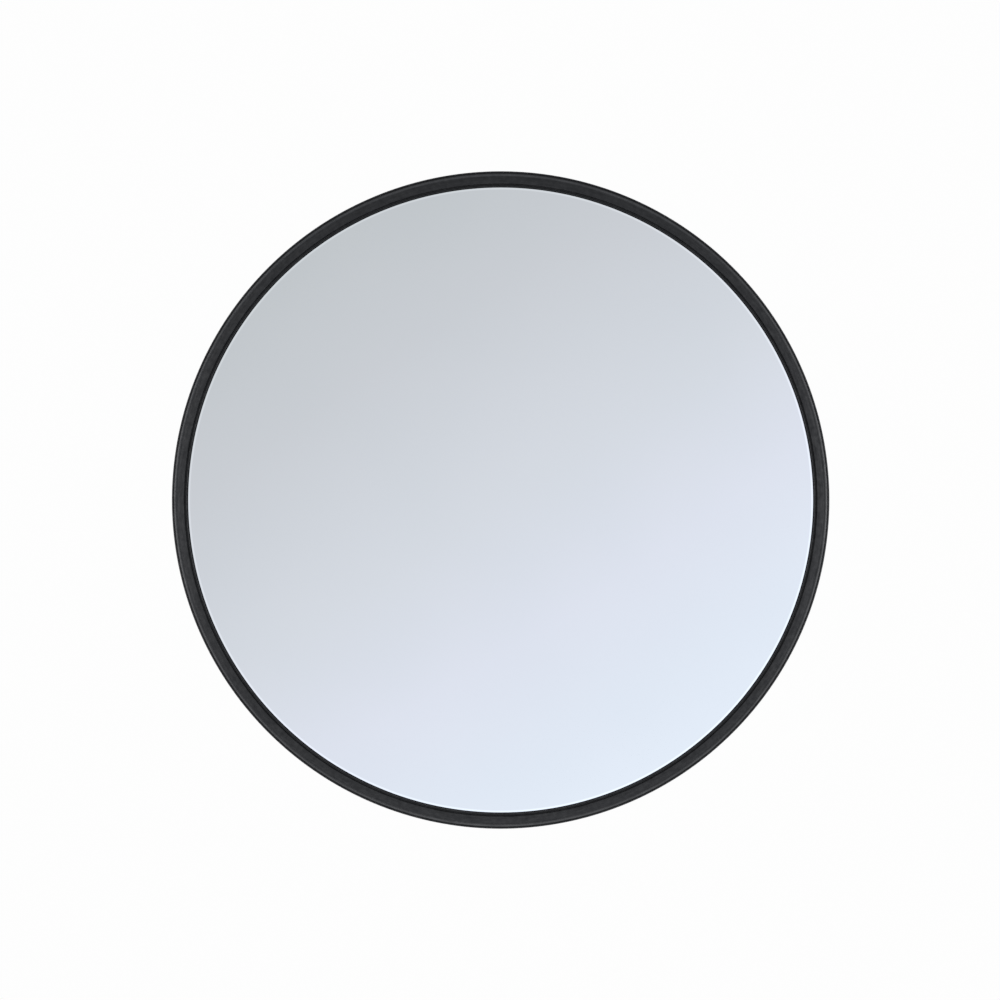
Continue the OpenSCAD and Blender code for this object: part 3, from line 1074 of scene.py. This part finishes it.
def make_pivot(kind, place):
    """One pivot's bolt, washers, knob and insert."""
    along = place @ ALONG_X
    stand_in(kind + "_bolt", carriage_bolt(), along @ moved(z=-EAR_OUTER), ZINC)
    friction_t = (YOKE_GAP - KNUCKLE_W) / 2 - SLIDE_GAP
    friction = [
        placed(washer(EYE_R, BOLT_HOLE_R, friction_t, 0.35), moved(z=height))
        for height in (-YOKE_GAP / 2, KNUCKLE_W / 2 + SLIDE_GAP)
    ]
    stand_in(kind + "_friction_washers", joined(friction), along, NYLON)
    flat = washer(10.0, BOLT_HOLE_R, WASHER_T)
    stand_in(kind + "_washer", flat, along @ moved(z=EAR_OUTER), ZINC)
    split_at = EAR_OUTER + WASHER_T
    stand_in(kind + "_spring_washer", split_washer(), along @ moved(z=split_at), ZINC)
    stand_in(kind + "_knob", star_knob(), along @ moved(z=KNOB_SEAT), KNOB, sharp=50)
    insert = washer(INSERT_R, BORE_R, INSERT_H, 0.3)
    stand_in(kind + "_knob_insert", insert, along @ moved(z=KNOB_SEAT + SLIDE_GAP), BRASS)


# ---- M6 fasteners ----


def hex_screw():
    """Head towards -z with chamfered corners and a washer face, shank towards +z."""
    head_h = 4.0
    length = 16
    across_flats = 10.0
    hexagon = circle(across_flats / math.sqrt(3), 6)
    blank = placed(prism(hexagon, head_h - 0.3), moved(z=-head_h))
    dome = lathe([(0, -head_h), (4.75, -head_h), (5.9, -head_h + 0.7), (5.9, 0), (0, 0)])
    head = combined(blank, dome, "INTERSECT")
    face = [(0, -0.4), (4.6, -0.4), (4.7, 0)]
    shank = [(3, 0), (3, length - 0.8), (2.3, length), (0, length)]
    return combined(head, lathe(face + shank, 64), "UNION")


def make_fasteners():
    """Four screws, each done up to its own angle, and their washers."""
    angle_apart = 17
    screws = []
    washers = []
    for i, (x, y) in enumerate(corners_of(MIRROR_HOLE_SPACING)):
        spot = moved(x, y)
        screws.append(placed(hex_screw(), spot @ turned(angle_apart * i, "Z")))
        washers.append(placed(washer(6.0, SCREW_HOLE_R, 1.2), spot))
    place = out(reach("mount_washers")[0])
    stand_in("mount_screws", joined(screws), place, ZINC)
    stand_in("mount_washers", joined(washers), place, ZINC)


def finish_hidden_nodes():
    """The pieces sealed inside the head keep their CAD shape, with eased edges."""
    for node, material in (("backing_plate", ZINC), ("mount_nuts", ZINC), ("lens_seal", FOAM)):
        obj = frame["nodes"][node]
        obj.data.materials.clear()
        obj.data.materials.append(material)
        closed = obj.modifiers.new("closed mesh", "WELD")
        closed.merge_threshold = WELD_DISTANCE * MM
        edges = obj.modifiers.new("eased edges", "BEVEL")
        edges.width = 0.2 * MM
        edges.segments = 2
        edges.limit_method = "ANGLE"


# ---- Studio, in metres ----

MOUNTING_HEIGHT = 2.2
FLOOR_SOLID_R = 3.0
FLOOR_R = 9.0
LENS_MM = 100.0
SENSOR_MM = 36.0
RIM_SHARE_OF_FRAME = 0.6580
CAMERA_LEFT = 0.00045
PANEL_R = 0.47
RIM_PANELS = [("right_panel", 0, 2.6), ("left_panel", 180, 2.4), ("lower_panel", 270, 1.2)]
REAR_LIGHTS = [
    ("rear_key", (-1.4, 1.3, 1.4), (0.9, 0.9), 48),
    ("rear_fill", (1.8, 1.2, 0.1), (0.8, 1.6), 10),
    ("top_panel", (0.1, 0.3, 2.2), (1.4, 0.9), 22),
]


def srgb(red, green, blue):
    """A display colour of 0 to 255 as linear light."""
    channels = []
    for value in (red, green, blue):
        c = value / 255
        channels.append(c / 12.92 if c <= 0.04045 else ((c + 0.055) / 1.055) ** 2.4)
    return channels


def make_camera():
    """A hair left of the mirror's axis, as far out as the rim's share of the frame asks."""
    data = bpy.data.cameras.new("camera")
    data.lens = LENS_MM
    data.sensor_width = SENSOR_MM
    distance = LENS_MM / SENSOR_MM * 2 * MIRROR_R * MM / RIM_SHARE_OF_FRAME
    camera = bpy.data.objects.new("camera", data)
    camera.location = (-CAMERA_LEFT, -TRIM_FRONT * MM - distance, 0)
    camera.rotation_euler = (math.radians(90), 0, 0)
    bpy.context.scene.collection.objects.link(camera)
    bpy.context.scene.camera = camera


def soft_light(name, place, aim, size, power):
    """A soft panel that lights the object but isn't seen in its reflections."""
    data = bpy.data.lights.new(name, "AREA")
    data.shape = "RECTANGLE"
    data.size, data.size_y = size
    data.energy = power
    light = bpy.data.objects.new(name, data)
    light.location = place
    direction = Vector(aim) - Vector(place)
    light.rotation_euler = direction.to_track_quat("-Z", "Y").to_euler()
    light.visible_glossy = False
    light.visible_camera = False
    bpy.context.scene.collection.objects.link(light)


def make_lights():
    """Small panels close beside the rim, and large ones behind and above."""
    rim_at = -TRIM_FRONT * MM
    for name, angle, power in RIM_PANELS:
        aside = Vector((math.cos(math.radians(angle)), 0, math.sin(math.radians(angle))))
        place = aside * PANEL_R + Vector((0, rim_at - 0.1, 0))
        edge = aside * MIRROR_R * MM + Vector((0, rim_at, 0))
        soft_light(name, place, edge, (0.12, 0.24), power)
    bracket = (0, -TILT_AXIS * MM / 2, 0)
    for name, place, size, power in REAR_LIGHTS:
        soft_light(name, place, bracket, size, power)


# The mirror returns this share of the light, so the glow in front of it is stronger by as much.
MIRROR_SHADE = 0.94
# The glow's display colours as the mirror shows them, from its dim side to its bright one.
GLOW = [
    (0.00, srgb(193, 197, 200)),
    (0.25, srgb(202, 205, 210)),
    (0.50, srgb(213, 217, 224)),
    (0.68, srgb(222, 226, 237)),
    (0.85, srgb(225, 232, 243)),
    (1.00, srgb(229, 237, 248)),
]
# It brightens to the right and this many degrees down. Half its width is given as the tangent
# of half the angle from straight ahead.
GLOW_ANGLE = 57.0
GLOW_HALF_WIDTH = 0.5716
EDGE_LIFT = 0.18
# Where one light turns into the next, by how far forward a direction points, from 1 to -1.
EDGE_FADE = (0.545, 0.50)
FLAGS_FADE = (0.26, 0.10)
REAR_FADE = (-0.10, -0.35)
# Colours by a direction's height, from 0 straight down to 1 straight up.
PALE_GROUND = (0.58, 0.58, 0.59)
FLAGS = [(0.0, PALE_GROUND), (0.42, (0.12, 0.12, 0.125)), (1.0, (0.16, 0.16, 0.165))]
REAR = [(0.0, PALE_GROUND), (0.5, (0.16, 0.16, 0.17)), (1.0, (0.40, 0.40, 0.40))]
# Each window's direction, the degrees from it where the light is full and where it ends, and
# its colour.
REAR_WINDOWS = [
    ((-0.55, 0.60, 0.58), 14, 36, (2.30, 2.30, 2.26)),
    ((0.80, 0.60, 0.15), 7, 22, (1.50, 1.53, 1.58)),
]
BACKDROP = (0.987, 0.987, 0.987)


class Studio(Nodes):
    """The surroundings: a smooth glow in front of the mirror, brighter towards the lower right
    and a little more at its edge, a ring of dark flags in the mirror's plane that draws its
    outline from the side, pale ground, two soft windows behind, and a plain white backdrop for
    the camera."""

    def __init__(self):
        world = bpy.data.worlds.new("studio")
        bpy.context.scene.world = world
        world.use_nodes = True
        super().__init__(world.node_tree)
        self.tree.nodes.clear()
        self.direction = self.node("ShaderNodeTexCoord").outputs["Generated"]

    def ramp(self, source, stops):
        made = self.node("ShaderNodeValToRGB", {0: source})
        elements = made.color_ramp.elements
        while len(elements) < len(stops):
            elements.new(0.5)
        for element, (position, colour) in zip(elements, stops):
            element.position = position
            element.color = (*colour, 1.0)
        return made.outputs[0]

    def spread(self, source, start, end):
        """0 at start, 1 at end, and an S between them."""
        values = {"From Min": start, "From Max": end}
        made = self.node(
            "ShaderNodeMapRange", {"Value": source}, values, interpolation_type="SMOOTHSTEP"
        )
        return made.outputs["Result"]

    def mix(self, share, first, second):
        """Goes from the first colour to the second, which may be a plain one."""
        made = self.node("ShaderNodeMix", {"Factor": share, "A": first}, data_type="RGBA")
        if isinstance(second, tuple):
            made.inputs["B"].default_value = (*second, 1.0)
        else:
            self.tree.links.new(second, made.inputs["B"])
        return made.outputs["Result"]

    def window(self, centre, inner, outer):
        """1 within inner degrees of a direction, falling to 0 at outer degrees."""
        aim = Vector(centre).normalized()
        made = self.node(
            "ShaderNodeVectorMath", {0: self.direction}, {1: aim}, operation="DOT_PRODUCT"
        )
        edges = [math.cos(math.radians(angle)) for angle in (outer, inner)]
        return self.spread(made.outputs["Value"], *edges)

    def glow(self, x, y, z, front):
        """The light in front of the mirror."""
        turn = math.radians(GLOW_ANGLE)
        rightward = self.maths("MULTIPLY", x, math.cos(turn))
        upward = self.maths("MULTIPLY", z, math.sin(turn))
        lean = self.maths("SUBTRACT", rightward, upward)
        across = self.maths("DIVIDE", lean, self.maths("SUBTRACT", 1.0, y))
        place = self.maths("MULTIPLY_ADD", across, 0.5 / GLOW_HALF_WIDTH, 0.5)
        glow = self.ramp(place, [(p, [c / MIRROR_SHADE for c in rgb]) for p, rgb in GLOW])
        lift = self.maths("MULTIPLY_ADD", self.spread(front, *EDGE_FADE), EDGE_LIFT, 1.0)
        lifted = self.node("ShaderNodeVectorMath", {0: glow, "Scale": lift}, operation="SCALE")
        return lifted.outputs[0]

    def build(self):
        x, y, z = self.node("ShaderNodeSeparateXYZ", {0: self.direction}).outputs
        front = self.maths("MULTIPLY", y, -1.0)
        height = self.maths("MULTIPLY_ADD", z, 0.5, 0.5)
        rear = self.ramp(height, REAR)
        for centre, inner, outer, colour in REAR_WINDOWS:
            rear = self.mix(self.window(centre, inner, outer), rear, colour)
        flags = self.ramp(height, FLAGS)
        ahead = self.mix(self.spread(front, *FLAGS_FADE), self.glow(x, y, z, front), flags)
        light = self.mix(self.spread(front, *REAR_FADE), ahead, rear)
        seen = self.node("ShaderNodeLightPath").outputs["Is Camera Ray"]
        final = self.mix(seen, light, BACKDROP)
        background = self.node("ShaderNodeBackground", {"Color": final})
        self.node("ShaderNodeOutputWorld", {0: background.outputs[0]})


def floor_finish():
    """A pale, even studio floor that fades into the backdrop."""
    finish = Finish("pale_floor", specular=0.2)
    finish.colour(finish.noise(900, detail=2), (0.86, 0.86, 0.86), (0.89, 0.89, 0.89))
    finish.rough(finish.noise(40, detail=3), 0.75, 0.9)
    finish.relief((finish.noise(3, detail=3), 0.05))
    finish.shader.inputs["Emission Color"].default_value = (1.0, 1.0, 1.0, 1.0)
    finish.shader.inputs["Emission Strength"].default_value = 0.30
    from_middle = finish.node("ShaderNodeVectorMath", {"Vector": finish.place}, operation="LENGTH")
    solid = finish.spread(from_middle.outputs["Value"], 1.0, 0.0, FLOOR_SOLID_R, FLOOR_R)
    finish.tree.links.new(solid, finish.shader.inputs["Alpha"])
    return finish.material


def make_floor():
    """A round pale floor under a mirror hung at its usual height. It is kept out of the
    mirror's view, where its edge would show as a line."""
    mesh = bmesh.new()
    mesh.faces.new([mesh.verts.new((p[0], p[1], 0)) for p in circle(FLOOR_R, 128)])
    floor = as_object("floor", mesh)
    floor.location.z = -MOUNTING_HEIGHT
    floor.data.materials.append(floor_finish())
    floor.visible_glossy = False


make_camera()
make_lights()
Studio().build()
make_floor()
bpy.context.scene.view_settings.view_transform = "Standard"

make_lens()
make_edge_trim()
make_back_shell()
make_plates()
make_yokes()
make_arm()
make_pivot("pan", AT_PAN)
make_pivot("tilt", AT_TILT)
make_fasteners()
finish_hidden_nodes()
